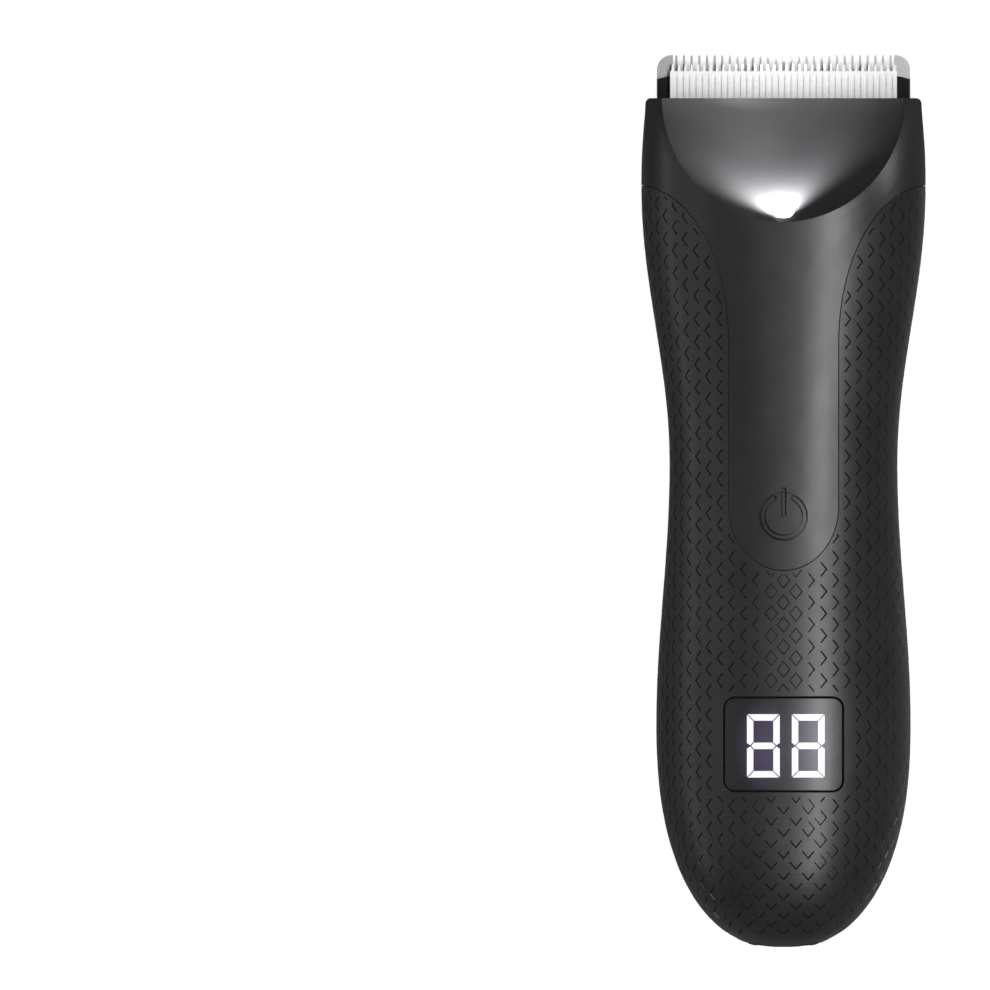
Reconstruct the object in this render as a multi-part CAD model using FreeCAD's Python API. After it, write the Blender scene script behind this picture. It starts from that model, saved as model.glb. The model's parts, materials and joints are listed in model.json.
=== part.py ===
import FreeCAD, Part
import math
import os

V = FreeCAD.Vector
os.makedirs("parts", exist_ok=True)

# A body groomer lying on its back. +Y points to the blade, +Z comes out of the front face and +X is to the
# right of someone facing that front. While it is drawn, y is the distance from the bottom end.
# export() then moves the origin to the middle of the footprint, so y runs from -LENGTH / 2 to LENGTH / 2.

# ---- overall form (mm)
LENGTH = 155.0
HEAD_TOP = 147.5
HEAD_CORNER = (23.05, 146.55)
BULGE_Y = 38.6
END_LENGTH = 38.9
FULLNESS = 2.3
WIDEST = 0.47
# each station: y, half width, height of the front line, height of the back line
BULGE = (BULGE_Y, 22.1, 37.5, -0.6)
WAIST = (84.0, 19.8, 29.5, 2.0)
SHOULDER = (132.0, 24.7, 30.5, -0.6)
# a virtual station past the head's top, which cuts the last curve half way
BEYOND_HEAD = (163.0, 23.3, 5.5, 17.6)
STATIONS = (BULGE, WAIST, SHOULDER, BEYOND_HEAD)
MIDDLE_Z = BULGE[3] + WIDEST * (BULGE[2] - BULGE[3])
SECTION_POINTS = 20
SECTION_STEP = 9.0

# ---- layers
GRIP = 1.2
WALL = 2.0
SHELL_INSIDE = GRIP + WALL
PARTING_Z = 15.0
SKIN_TOP = 124.0

# ---- outline between the smooth tongue and the soft grip
TONGUE_HALF = 9.5
TONGUE_END = 11.0
FRONT_TONGUE_Y = 76.5
REAR_TONGUE_Y = 29.0
FLARE_CENTRE = (25.5, 105.0)
FLARE_HEIGHT = 27.4
GRIP_SEAM = 0.12

# ---- scoop in the front of the head
SCOOP_HALF = 21.1
SCOOP_DEPTH_Y = 21.5
SCOOP_LOW_Z = 27.0
SCOOP_TOP_Z = 11.0
SCOOP_HOLLOW = 1.3
SCOOP_CUP_LOW = 0.030
SCOOP_CUP_TOP = 0.0095
SCOOP_SKIN = 1.3

# ---- blade set
BLADE_HALF = 22.0
BLADE_Z = 5.0
BLADE_THICK = 0.8
BLADE_SCREWS = (15.5, 143.4)
BLADE_REAR = 141.6
BLADE_ROOT = 150.4
BLADE_CORNER = 2.5
LOBE_WIDTH = 2.8
STEEL_TEETH = 29
STEEL_PITCH = 1.33
CUTTER_HALF = 19.7
CUTTER_REAR = 146.0
CUTTER_TIP = 153.4
CUTTER_ROOT = 152.2
CUTTER_TEETH = 35
CUTTER_PITCH = 1.1
CUTTER_Z = 5.82
CUTTER_TOP = 7.4
CUTTER_RELIEF = 6.5
STROKE = 1.2
NOTCH_Y = 137.5

# ---- drive
AXIS_Z = 14.5
MOTOR_R = 7.5
MOTOR_LOW = 94.0
MOTOR_HIGH = 117.0
SHAFT_R = 1.0
MOTOR_SCREW_XS = (-5.2, 5.2)
THROW = 1.2
PIN_R = 0.8
FORK_GAP = PIN_R + THROW + STROKE + 0.15

# ---- controls, light and display
BUTTON_Y = 74.8
BUTTON_R = 4.15
BUTTON_GAP = 0.08
BUTTON_POST_Z = 24.45
BAR_LENGTH = 5.2
BAR_WIDTH = 1.02
ICON_STROKE = 1.05
ICON_OPENING = math.radians(28)
ICON_EDGE = 0.3
ICON_FLOOR = 0.15
ICON_DEPTH = 0.6
LAMP_Y = 128.0
LAMP_DOME = (1.9, 1.75, 1.0)
LAMP_SLOT = (0.6, 1.2)
LAMP_BOARD_Z = (20.9, 21.7)
WINDOW_Y = 35.2
WINDOW = (21.0, 16.6, 2.0)
WINDOW_THICK = 1.6
DIGIT = (5.7, 11.0)
DIGIT_PITCH = 7.8
DIGITS_MIDDLE = (0.4, 34.95)
DIGIT_Z = (32.9, 33.5)
BAR_THICK = 1.12
BAR_GAP = 0.12
WINDOW_GAP = 0.33

# ---- inside
CELL_R = 7.1
CELL_Z = 12.2
CELL_ENDS = (19.0, 68.0)
TRAY_Z = (19.4, 20.4)
BOARD_Z = (20.5, 21.7)
BOARD_Y = (18.0, 91.4)
BOARD_HALF = 12.6
SCREW_X = 15.2
SCREW_YS = (60.0, 108.0)
SCREW_HEAD_Z = (8.4, 9.8)
SOCKET = (12.4, 9.2, 2.4)
SOCKET_HOLE = (9.6, 6.6, 1.6)
SOCKET_DEPTH = 9.8
SOCKET_BACK = 12.5
CHARGE_PIN_R = 0.8
CHARGE_TAIL_R = 0.6
CHARGE_PIN_X = 2.2
CHARGE_PIN_LENGTH = 5.0


# ---- helpers
def export(name, shape):
    placed = shape.copy()
    placed.translate(V(0, -LENGTH / 2, 0))
    placed.exportStep("parts/" + name + ".step")


def box(x0, x1, y0, y1, z0, z1):
    return Part.makeBox(x1 - x0, y1 - y0, z1 - z0, V(x0, y0, z0))


def rod(radius, y0, y1, x=0.0, z=AXIS_Z):
    """A round bar along Y."""
    return Part.makeCylinder(radius, y1 - y0, V(x, y0, z), V(0, 1, 0))


def post(radius, x, y, z0, z1):
    """A round bar along Z."""
    return Part.makeCylinder(radius, z1 - z0, V(x, y, z0), V(0, 0, 1))


def prism(points, z0, z1):
    """A straight-sided outline in plan, carried up from z0 to z1."""
    corners = [V(x, y, z0) for x, y in points]
    face = Part.Face(Part.makePolygon(corners + corners[:1]))
    return face.extrude(V(0, 0, z1 - z0))


def cross(x, y, arm, z0, z1):
    """The drive recess of a cross-head screw."""
    across = box(x - arm, x + arm, y - 0.2, y + 0.2, z0, z1)
    return across.fuse(box(x - 0.2, x + 0.2, y - arm, y + arm, z0, z1))


def mirrored(shape):
    return shape.mirror(V(0, 0, 0), V(1, 0, 0))


def both_sides(shape):
    return [shape, mirrored(shape)]


def fused(shapes):
    whole = shapes[0].fuse(shapes[1:]) if len(shapes) > 1 else shapes[0]
    return whole.removeSplitter()


def group(shapes):
    return Part.makeCompound(shapes)


def rounded_plan(centre_y, size, z0, z1, grow=0.0):
    """A rectangle with round corners in plan, carried from z0 to z1."""
    width = size[0] + 2 * grow
    height = size[1] + 2 * grow
    block = box(-width / 2, width / 2, centre_y - height / 2, centre_y + height / 2, z0, z1)
    upright = [e for e in block.Edges if abs(e.Vertexes[0].Z - e.Vertexes[1].Z) > 1e-6]
    return block.makeFillet(size[2] + grow, upright)


def rounded_end(size, y0, y1, grow=0.0):
    """The same rectangle standing across Y, as the inlet at the bottom end needs it."""
    width = size[0] + 2 * grow
    height = size[1] + 2 * grow
    block = box(-width / 2, width / 2, y0, y1, MIDDLE_Z - height / 2, MIDDLE_Z + height / 2)
    along = [e for e in block.Edges if abs(e.Vertexes[0].Y - e.Vertexes[1].Y) > 1e-6]
    return block.makeFillet(size[2] + grow, along)


# ---- the outer form and the forms nested in it
def eased(y, column):
    """One column of the stations at y, on half a cosine wave from each station to the next."""
    for low, high in zip(STATIONS, STATIONS[1:]):
        if y <= high[0]:
            share = (1 - math.cos(math.pi * (y - low[0]) / (high[0] - low[0]))) / 2
            return low[column] + (high[column] - low[column]) * share
    return STATIONS[-1][column]


def profile(y, inset):
    """Half width, height above the widest line, depth below it and that line's own height."""
    if y >= BULGE_Y:
        half, front, back = (eased(y, column) for column in (1, 2, 3))
        middle = back + WIDEST * (front - back)
        return half - inset, front - inset - middle, middle - back - inset, middle
    along = (BULGE_Y - y) / (END_LENGTH - inset)
    swell = (1 - along**FULLNESS) ** (1 / FULLNESS)
    rise = (BULGE[2] - MIDDLE_Z - inset) * swell
    fall = (MIDDLE_Z - BULGE[3] - inset) * swell
    return (BULGE[1] - inset) * swell, rise, fall, MIDDLE_Z


def section(y, inset):
    """The closed section at y: one superellipse above the widest line and another below it."""
    half, rise, fall, middle = profile(y, inset)
    points = []
    for step in range(SECTION_POINTS):
        # the curve starts at the back's middle, so that its seam lies under the flat
        angle = 2 * math.pi * step / SECTION_POINTS - math.pi / 2
        across = abs(math.cos(angle)) / half
        upward = abs(math.sin(angle)) / (rise if math.sin(angle) > 0 else fall)
        radius = (across**FULLNESS + upward**FULLNESS) ** (-1 / FULLNESS)
        points.append(V(radius * math.cos(angle), y, middle + radius * math.sin(angle)))
    curve = Part.BSplineCurve()
    curve.interpolate(Points=points, PeriodicFlag=True)
    return Part.Wire(curve.toShape())


def form(inset, y0, y1):
    """The outer form drawn in by inset, from y0 to y1, with its back cut flat to lie on."""
    ys = []
    if y0 < BULGE_Y:
        first = math.acos((BULGE_Y - y0) / (END_LENGTH - inset))
        turns = 7
        for step in range(turns):
            angle = first + (math.pi / 2 - first) * step / turns
            ys.append(BULGE_Y - (END_LENGTH - inset) * math.cos(angle))
    start = max(y0, BULGE_Y)
    steps = math.ceil((y1 - start) / SECTION_STEP)
    ys += [start + (y1 - start) * step / steps for step in range(steps + 1)]
    whole = Part.makeLoft([section(y, inset) for y in ys], True, False)
    return whole.cut(box(-40, 40, -10, LENGTH + 10, -20, inset))


def head_corners():
    """What rounding the head's two top corners takes away."""
    x, y = HEAD_CORNER
    waste = box(x, x + 4, y, y + 4, -10, 60).cut(post(HEAD_TOP - y, x, y, -10, 60))
    return both_sides(waste)


# ---- outlines in plan
def tongue(tongue_y, grow=0.0):
    """The smooth region from the head down to the tongue's round end, as a tall prism."""
    half = TONGUE_HALF + grow
    centre_x, centre_y = FLARE_CENTRE
    top = centre_y + FLARE_HEIGHT - grow
    round_end = Part.Ellipse(V(0, tongue_y - TONGUE_END - grow, 0), V(half, tongue_y, 0), V(0, tongue_y, 0))
    flare = Part.Ellipse(V(centre_x, top, 0), V(half, centre_y, 0), V(centre_x, centre_y, 0))
    half_turn = math.pi / 2
    right = [
        Part.makeLine(V(half, tongue_y, 0), V(half, centre_y, 0)),
        Part.Arc(flare, 0, half_turn).toShape(),
        Part.makeLine(V(centre_x, top, 0), V(centre_x, LENGTH, 0)),
    ]
    edges = [Part.Arc(round_end, -half_turn, half_turn).toShape()]
    edges += right
    edges += [mirrored(edge) for edge in right]
    edges.append(Part.makeLine(V(centre_x, LENGTH, 0), V(-centre_x, LENGTH, 0)))
    outline = Part.Wire(Part.__sortEdges__(edges))
    prism_base = Part.Face(outline)
    prism_base.translate(V(0, 0, -10))
    return prism_base.extrude(V(0, 0, 70))


def scoop_floor(x, y):
    """Height of the scoop's dished floor."""
    down = (HEAD_TOP - y) / SCOOP_DEPTH_Y
    centre = SCOOP_TOP_Z + (SCOOP_LOW_Z - SCOOP_TOP_Z) * max(down, 0.0) ** SCOOP_HOLLOW
    cup = SCOOP_CUP_TOP + (SCOOP_CUP_LOW - SCOOP_CUP_TOP) * down
    return centre + cup * x * x


def scoop(grow):
    """Everything in front of the scoop's floor, inside its rim; grow widens and deepens it for the skin."""
    ys = [HEAD_TOP - SCOOP_DEPTH_Y * (1.2 - 0.15 * step) for step in range(9)]
    xs = [SCOOP_HALF * 1.2 * (step / 3 - 1) for step in range(7)]
    rows = [[V(x, y, scoop_floor(x, y) - grow) for x in xs] for y in ys]
    surface = Part.BSplineSurface()
    surface.interpolate(rows)
    above = surface.toShape().extrude(V(0, 0, 80))
    foot = V(0, HEAD_TOP - SCOOP_DEPTH_Y - grow, -10)
    rim = Part.Ellipse(foot, V(SCOOP_HALF + grow, HEAD_TOP, -10), V(0, HEAD_TOP, -10))
    inside = Part.Face(Part.Wire(rim.toShape())).extrude(V(0, 0, 120))
    return above.common(inside)


# ---- shared volumes
OUTER = form(0.0, 0.0, HEAD_TOP).cut(head_corners())
UNDER_GRIP = form(GRIP, GRIP, HEAD_TOP)
CAVITY = form(SHELL_INSIDE, SHELL_INSIDE + 0.2, HEAD_TOP + 1.0)
FRONT_HALF = box(-40, 40, -10, LENGTH + 10, PARTING_Z, 60)
REAR_HALF = box(-40, 40, -10, LENGTH + 10, -10, PARTING_Z)
FRONT_GRIP_LAYER = OUTER.common(FRONT_HALF).cut(UNDER_GRIP)
REAR_GRIP_LAYER = OUTER.common(REAR_HALF).cut(UNDER_GRIP)
FRONT_SHELL_LAYER = UNDER_GRIP.common(FRONT_HALF).cut(CAVITY)
FRONT_WALL = OUTER.common(FRONT_HALF).cut(CAVITY)
REAR_WALL = OUTER.common(REAR_HALF).cut(CAVITY)
FRONT_TONGUE = tongue(FRONT_TONGUE_Y)
REAR_TONGUE = tongue(REAR_TONGUE_Y)
SCOOP_AIR = scoop(0.0)
SCOOP_SOLID = scoop(SCOOP_SKIN)
INLET_HOLE = rounded_end(SOCKET, -1, SOCKET_BACK + 1, 0.05)
ABOVE_SKIN = box(-40, 40, SKIN_TOP, LENGTH + 10, -10, 60)
NOTCH = box(-22.15, 22.15, NOTCH_Y, LENGTH, -10, 40)


# ---- housing
def front_panel():
    skin = FRONT_GRIP_LAYER.common(FRONT_TONGUE).cut(ABOVE_SKIN)
    skin = skin.cut([post(BUTTON_R + BUTTON_GAP, 0, BUTTON_Y, 20, 40)] + engraved(icon_bar))
    head = FRONT_WALL.common(FRONT_TONGUE).common(ABOVE_SKIN)
    bowl = SCOOP_SOLID.common(OUTER)
    pads = both_sides(box(2.6, 4.4, LAMP_Y - 1.6, LAMP_Y + 0.4, LAMP_BOARD_Z[1], 24.3))
    head = head.fuse([bowl] + pads).cut(SCOOP_AIR).cut(lamp_slot(0.03))
    return head.fuse(skin)


def front_shell():
    shell = FRONT_SHELL_LAYER.cut(INLET_HOLE)
    shell = shell.cut(FRONT_TONGUE.common(ABOVE_SKIN)).cut(SCOOP_SOLID)
    shell = shell.cut(post(BUTTON_R + 1.15, 0, BUTTON_Y, 20, 40))
    shell = shell.cut(rounded_plan(WINDOW_Y, WINDOW, 20, 45))
    bosses = []
    for y in SCREW_YS:
        for x in (-SCREW_X, SCREW_X):
            bosses.append(post(2.4, x, y, PARTING_Z, 30).common(UNDER_GRIP).cut(post(0.95, x, y, 0, 22.5)))
    return shell.fuse(bosses).cut(housing_seal())


def rear_shell():
    shell = REAR_WALL.cut(REAR_GRIP_LAYER.cut(REAR_TONGUE)).cut(INLET_HOLE)
    shell = shell.cut(NOTCH).cut(SCOOP_SOLID)
    bosses = []
    holes = []
    for y in SCREW_YS:
        for x in (-SCREW_X, SCREW_X):
            bosses.append(post(2.6, x, y, 0, PARTING_Z).common(UNDER_GRIP))
            holes += [post(1.1, x, y, -1, 16), post(2.0, x, y, -1, SCREW_HEAD_Z[1])]
    return shell.fuse(bosses).cut(holes).cut(housing_seal())


def front_grip():
    grip = FRONT_GRIP_LAYER.cut(tongue(FRONT_TONGUE_Y, GRIP_SEAM))
    return grip.cut(rounded_plan(WINDOW_Y, WINDOW, 20, 45)).cut(INLET_HOLE)


def rear_grip():
    return REAR_GRIP_LAYER.cut(tongue(REAR_TONGUE_Y, GRIP_SEAM)).cut(INLET_HOLE)


def housing_seal():
    """The gasket cord round the parting plane, half in each shell."""
    slab = box(-40, 40, 5, 131, PARTING_Z - 0.4, PARTING_Z + 0.4)
    ring = slab.common(form(GRIP + 0.7, GRIP + 0.7, HEAD_TOP)).cut(form(GRIP + 1.4, GRIP + 1.4, HEAD_TOP))
    return ring.cut(rounded_end(SOCKET, -1, SOCKET_BACK + 1, 0.6))


def housing_screws():
    screws = []
    for y in SCREW_YS:
        for x in (-SCREW_X, SCREW_X):
            low, high = SCREW_HEAD_Z
            head = post(1.9, x, y, low, high).cut(cross(x, y, 1.2, low - 0.1, low + 0.5))
            screws.append(head.fuse(post(0.94, x, y, high, 22.0)))
    return group(screws)


# ---- button
def below_face(plan, depth):
    """The part of a plan shape that lies outside the outer form sunk by depth."""
    return plan.cut(OUTER.translated(V(0, 0, -depth)))


def icon_bar(shrink):
    """The upright bar of the power mark, drawn in by shrink."""
    half = BAR_WIDTH / 2
    low = BUTTON_Y - 0.1 + half
    high = low + BAR_LENGTH - BAR_WIDTH
    ends = [post(half - shrink, 0, y, 26, 34) for y in (low, high)]
    return fused([box(shrink - half, half - shrink, low, high, 26, 34)] + ends)


def icon_ring(shrink):
    """The open ring of the power mark, drawn in by shrink; unshrunk, it runs out past the button's edge."""
    outer = BUTTON_R - shrink if shrink else BUTTON_R + 1
    middle = BUTTON_R - ICON_STROKE / 2
    ring = post(outer, 0, BUTTON_Y, 26, 34).cut(post(BUTTON_R - ICON_STROKE + shrink, 0, BUTTON_Y, 25, 35))
    side = 9 * math.sin(ICON_OPENING)
    top = BUTTON_Y + 9 * math.cos(ICON_OPENING)
    ring = ring.cut(prism([(0, BUTTON_Y), (side, top), (-side, top)], 25, 35))
    ends = []
    for x in (-middle * math.sin(ICON_OPENING), middle * math.sin(ICON_OPENING)):
        ends.append(post(ICON_STROKE / 2 - shrink, x, BUTTON_Y + middle * math.cos(ICON_OPENING), 26, 34))
    return fused([ring] + ends)


def engraved(mark):
    """A mark sunk slightly all over, with a deeper narrow channel along its edge."""
    channel = mark(0.0).cut(mark(ICON_EDGE))
    return [below_face(mark(0.0), ICON_FLOOR), below_face(channel, ICON_DEPTH)]


def power_button():
    cap = OUTER.common(post(BUTTON_R, 0, BUTTON_Y, 26.2, 40))
    cap = cap.cut(engraved(icon_ring) + engraved(icon_bar))
    flange = post(BUTTON_R + 0.75, 0, BUTTON_Y, 25.6, 26.2)
    stem = post(1.4, 0, BUTTON_Y, BUTTON_POST_Z, 25.6)
    return fused([cap, flange, stem])


def button_seal():
    ring = post(BUTTON_R + 1.15, 0, BUTTON_Y, 26.5, 27.6)
    return ring.cut(post(BUTTON_R + 0.15, 0, BUTTON_Y, 26, 30))


def tact_switch():
    case = box(-3, 3, BUTTON_Y - 3, BUTTON_Y + 3, BOARD_Z[1], 23.5)
    return case.cut(post(1.65, 0, BUTTON_Y, 22.2, 24))


def switch_plunger():
    return post(1.5, 0, BUTTON_Y, 22.8, BUTTON_POST_Z - 0.02)


# ---- display and lamp
def display_window():
    pane = rounded_plan(WINDOW_Y, WINDOW, 30, 45, -WINDOW_GAP).common(OUTER)
    return pane.cut(pane.translated(V(0, 0, -WINDOW_THICK)))


def display_module():
    case = rounded_plan(WINDOW_Y, (20.0, 15.6, 1.0), BOARD_Z[1], 33.3)
    return case.cut(display_digits())


def digit_bars(centre_x):
    """One digit's seven bars: mitred at its corners, and pointed where three of them meet."""
    right, top = DIGIT[0] / 2, DIGIT[1] / 2
    inner = right - BAR_THICK
    half = BAR_THICK / 2
    cap = [(right - BAR_GAP, top), (inner - BAR_GAP, top - BAR_THICK)]
    side = [(right, top - BAR_GAP), (inner, top - BAR_THICK - BAR_GAP), (inner, half + BAR_GAP)]
    side += [(right - half, BAR_GAP), (right, half * 0.7 + BAR_GAP)]
    middle = [(right - half - BAR_GAP * 1.4, 0), (inner - BAR_GAP, half)]
    plans = []
    for up in (1, -1):
        plans.append([(x, up * y) for x, y in cap] + [(-x, up * y) for x, y in reversed(cap)])
        for across in (1, -1):
            plans.append([(across * x, up * y) for x, y in side])
    half_bar = middle + [(-x, y) for x, y in reversed(middle)]
    plans.append(half_bar + [(-middle[1][0], -half), (middle[1][0], -half)])
    centre_y = DIGITS_MIDDLE[1]
    return [prism([(centre_x + x, centre_y + y) for x, y in plan], *DIGIT_Z) for plan in plans]


def display_digits():
    middle = DIGITS_MIDDLE[0]
    return group(digit_bars(middle - DIGIT_PITCH / 2) + digit_bars(middle + DIGIT_PITCH / 2))


def lamp_slot(grow):
    """The round-ended slot through the scoop's skin that the lamp lens fills."""
    half, radius = LAMP_SLOT[0], LAMP_SLOT[1] + grow
    ends = [post(radius, x, LAMP_Y, 20, 32) for x in (-half, half)]
    return fused(ends + [box(-half, half, LAMP_Y - radius, LAMP_Y + radius, 20, 32)])


def lamp_lens():
    """A low dome on the scoop's floor, on a stem through the slot."""
    dome = Part.makeSphere(1.0)
    stretch = FreeCAD.Matrix()
    stretch.scale(*LAMP_DOME)
    dome = dome.transformGeometry(stretch)
    dome.translate(V(0, LAMP_Y, scoop_floor(0, LAMP_Y) - 0.25))
    dome = dome.common(SCOOP_AIR)
    stem = lamp_slot(0.0).common(box(-5, 5, 120, 135, 23.2, 26)).cut(SCOOP_AIR)
    return fused([dome, stem])


def lamp_board():
    return box(-4.5, 4.5, LAMP_Y - 4.5, LAMP_Y + 1.2, LAMP_BOARD_Z[0], LAMP_BOARD_Z[1])


def lamp_diode():
    return box(-1.5, 1.5, LAMP_Y - 0.8, LAMP_Y + 0.8, LAMP_BOARD_Z[1], 23.1)


# ---- inside
def chassis():
    tray = box(-12.3, 12.3, 17.5, 91.5, TRAY_Z[0], TRAY_Z[1])
    pads = [post(1.6, x, y, TRAY_Z[1], BOARD_Z[0]) for x in (-10.5, 10.5) for y in (24, 86)]
    end_rib = box(-12.3, 12.3, 88.5, 90.0, 0, TRAY_Z[0])
    rails = [box(8.2, 10.0, 88.5, 118.7, 11.0, 18.0), box(-10.0, -8.2, 88.5, 118.7, 11.0, 18.0)]
    holes = [rod(3.05, 118, 121)] + [rod(0.8, 118, 121, x) for x in MOTOR_SCREW_XS]
    bulkhead = box(-40, 40, 118.7, 120.5, -1, 24).cut(holes)
    frame = fused([tray, end_rib, bulkhead] + pads + rails)
    return frame.common(form(SHELL_INSIDE + 0.1, SHELL_INSIDE + 0.3, HEAD_TOP))


def main_board():
    board = box(-BOARD_HALF, BOARD_HALF, BOARD_Y[0], BOARD_Y[1], BOARD_Z[0], BOARD_Z[1])
    for x in (-10.5, 10.5):
        for y in (24, 86):
            board = board.cut(post(0.9, x, y, 20, 22))
    return board


def board_parts():
    top = BOARD_Z[1]
    chips = [box(-9, -4, 60, 65, top, top + 1.0), box(4, 8, 61, 64, top, top + 1.2)]
    coils = [box(5, 10, 50, 55, top, top + 2.4), post(2.4, -8, 53, top, top + 4.5)]
    small = [box(x, x + 1.6, 46.5, 47.3, top, top + 0.5) for x in (-10, -7, 2, 5)]
    return group(chips + coils + small)


def battery_cell():
    can = rod(CELL_R, CELL_ENDS[0], CELL_ENDS[1], 0, CELL_Z)
    button = rod(2.6, CELL_ENDS[1], CELL_ENDS[1] + 0.8, 0, CELL_Z)
    groove = rod(CELL_R + 1, 65.3, 66.1, 0, CELL_Z).cut(rod(CELL_R - 0.35, 65, 67, 0, CELL_Z))
    return can.cut(groove).fuse(button)


def cell_tabs():
    low = box(-2.5, 2.5, CELL_ENDS[0] - 0.25, CELL_ENDS[0], 8.5, TRAY_Z[0])
    high = box(-2.5, 2.5, CELL_ENDS[1] + 0.8, CELL_ENDS[1] + 1.05, 8.5, TRAY_Z[0])
    return group([low, high])


# ---- motor
def motor_can():
    can = rod(MOTOR_R, MOTOR_LOW, MOTOR_HIGH).cut(rod(MOTOR_R - 0.5, MOTOR_LOW - 1, MOTOR_HIGH - 0.6))
    nose = rod(3.0, MOTOR_HIGH, MOTOR_HIGH + 1.6)
    can = can.fuse(nose).cut(rod(SHAFT_R + 0.03, MOTOR_LOW, MOTOR_HIGH + 3))
    for x in MOTOR_SCREW_XS:
        can = can.cut(rod(0.75, MOTOR_HIGH - 1, MOTOR_HIGH + 1, x))
    return can


def motor_end_bell():
    cap = rod(MOTOR_R, MOTOR_LOW - 2.2, MOTOR_LOW).fuse(rod(MOTOR_R - 0.55, MOTOR_LOW, MOTOR_LOW + 1.2))
    return cap.cut(rod(SHAFT_R + 0.03, MOTOR_LOW - 1.4, MOTOR_LOW + 2))


def motor_terminals():
    tab = box(3.1, 4.9, MOTOR_LOW - 3.6, MOTOR_LOW - 2.2, AXIS_Z - 0.2, AXIS_Z + 0.2)
    return group(both_sides(tab))


def motor_magnets():
    ring = rod(MOTOR_R - 0.5, 98, 114).cut(rod(MOTOR_R - 1.6, 97, 115))
    sides = box(3.0, 10, 97, 115, 0, 30)
    return group([ring.common(side) for side in both_sides(sides)])


def motor_armature():
    core = rod(5.6, 99, 112)
    for turn in range(3):
        slot = box(-0.7, 0.7, 98, 113, AXIS_Z + 2.4, AXIS_Z + 7)
        slot.rotate(V(0, 0, AXIS_Z), V(0, 1, 0), 120 * turn)
        core = core.cut(slot)
    commutator = rod(2.2, 95.4, 99)
    return core.fuse(commutator).cut(rod(SHAFT_R, 90, 120)).removeSplitter()


def motor_shaft():
    return rod(SHAFT_R, MOTOR_LOW - 1.3, 127.0)


def motor_screws():
    screws = []
    for x in MOTOR_SCREW_XS:
        slot = box(x - 0.9, x + 0.9, 121.0, 121.5, AXIS_Z - 0.15, AXIS_Z + 0.15)
        head = rod(1.4, 120.5, 121.3, x).cut(slot)
        screws.append(head.fuse(rod(0.72, MOTOR_HIGH - 0.9, 120.5, x)))
    return group(screws)


def shaft_seal():
    ring = rod(3.05, MOTOR_HIGH + 1.6, 120.5)
    return ring.cut(rod(SHAFT_R + 0.06, MOTOR_HIGH, 121))


def eccentric():
    hub = rod(3.2, 122.0, 127.5)
    relief = box(-4, 4, 124.0, 128, AXIS_Z + 1.9, AXIS_Z + 4)
    pin = rod(PIN_R, 127.5, 133.6, 0, AXIS_Z + THROW)
    tip = Part.makeSphere(PIN_R, V(0, 133.6, AXIS_Z + THROW))
    return hub.cut(relief).fuse([pin, tip]).cut(rod(SHAFT_R, 121, 127.0)).removeSplitter()


# ---- blade set
def fixed_blade():
    top = BLADE_Z + BLADE_THICK
    rear = box(-BLADE_HALF, BLADE_HALF, BLADE_REAR, BLADE_ROOT, BLADE_Z, top)
    corner = BLADE_HALF - BLADE_CORNER
    lobe = box(BLADE_HALF - LOBE_WIDTH, BLADE_HALF, BLADE_ROOT, LENGTH - BLADE_CORNER, BLADE_Z, top)
    tip = box(BLADE_HALF - LOBE_WIDTH, corner, LENGTH - BLADE_CORNER, LENGTH, BLADE_Z, top)
    round_corner = post(BLADE_CORNER, corner, LENGTH - BLADE_CORNER, BLADE_Z, top)
    round_corner = round_corner.common(box(corner, 30, 0, LENGTH + 1, 0, 10))
    pieces = [rear] + both_sides(fused([lobe, tip, round_corner]))
    for tooth in range(STEEL_TEETH):
        x = (tooth - (STEEL_TEETH - 1) / 2) * STEEL_PITCH
        left = [(x - 0.28, BLADE_ROOT - 0.1), (x - 0.2, LENGTH - 0.2), (x - 0.1, LENGTH)]
        right = [(2 * x - a, b) for a, b in reversed(left)]
        pieces.append(prism(left + right, BLADE_Z, top))
    blade = fused(pieces)
    for x in (-BLADE_SCREWS[0], BLADE_SCREWS[0]):
        blade = blade.cut(Part.makeCone(1.9, 1.0, BLADE_THICK, V(x, BLADE_SCREWS[1], BLADE_Z)))
    return blade


def blade_screws():
    screws = []
    y = BLADE_SCREWS[1]
    for x in (-BLADE_SCREWS[0], BLADE_SCREWS[0]):
        head = Part.makeCone(1.85, 0.95, BLADE_THICK, V(x, y, BLADE_Z))
        head = head.cut(cross(x, y, 1.1, BLADE_Z - 0.1, BLADE_Z + 0.4))
        screws.append(head.fuse(post(0.8, x, y, BLADE_Z + BLADE_THICK, 8.6)))
    return group(screws)


def blade_base():
    z = BLADE_Z + BLADE_THICK
    left = [(-22, 141.5), (-22, 150.8), (-20, 151.3)]
    skin = prism(left + [(-x, y) for x, y in reversed(left)], z, z + 0.55)
    rear = fused(both_sides(box(0, 22, NOTCH_Y + 0.1, 141.5, -1, 9.2).common(OUTER)))
    rails = both_sides(box(21.25, 22, 141.5, 147.0, z, 9.2))
    x, y = BLADE_SCREWS
    bosses = both_sides(post(2.0, x, y, z, 9.2).fuse(box(x - 2, x + 2, 141.4, y, z, 9.2)))
    base = fused([skin, rear] + rails + bosses)
    channel = box(-7.2, 7.2, NOTCH_Y, 141.6, z + 0.4, 12)
    return base.cut([channel] + both_sides(post(0.8, x, y, 3, 8.8)))


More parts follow.
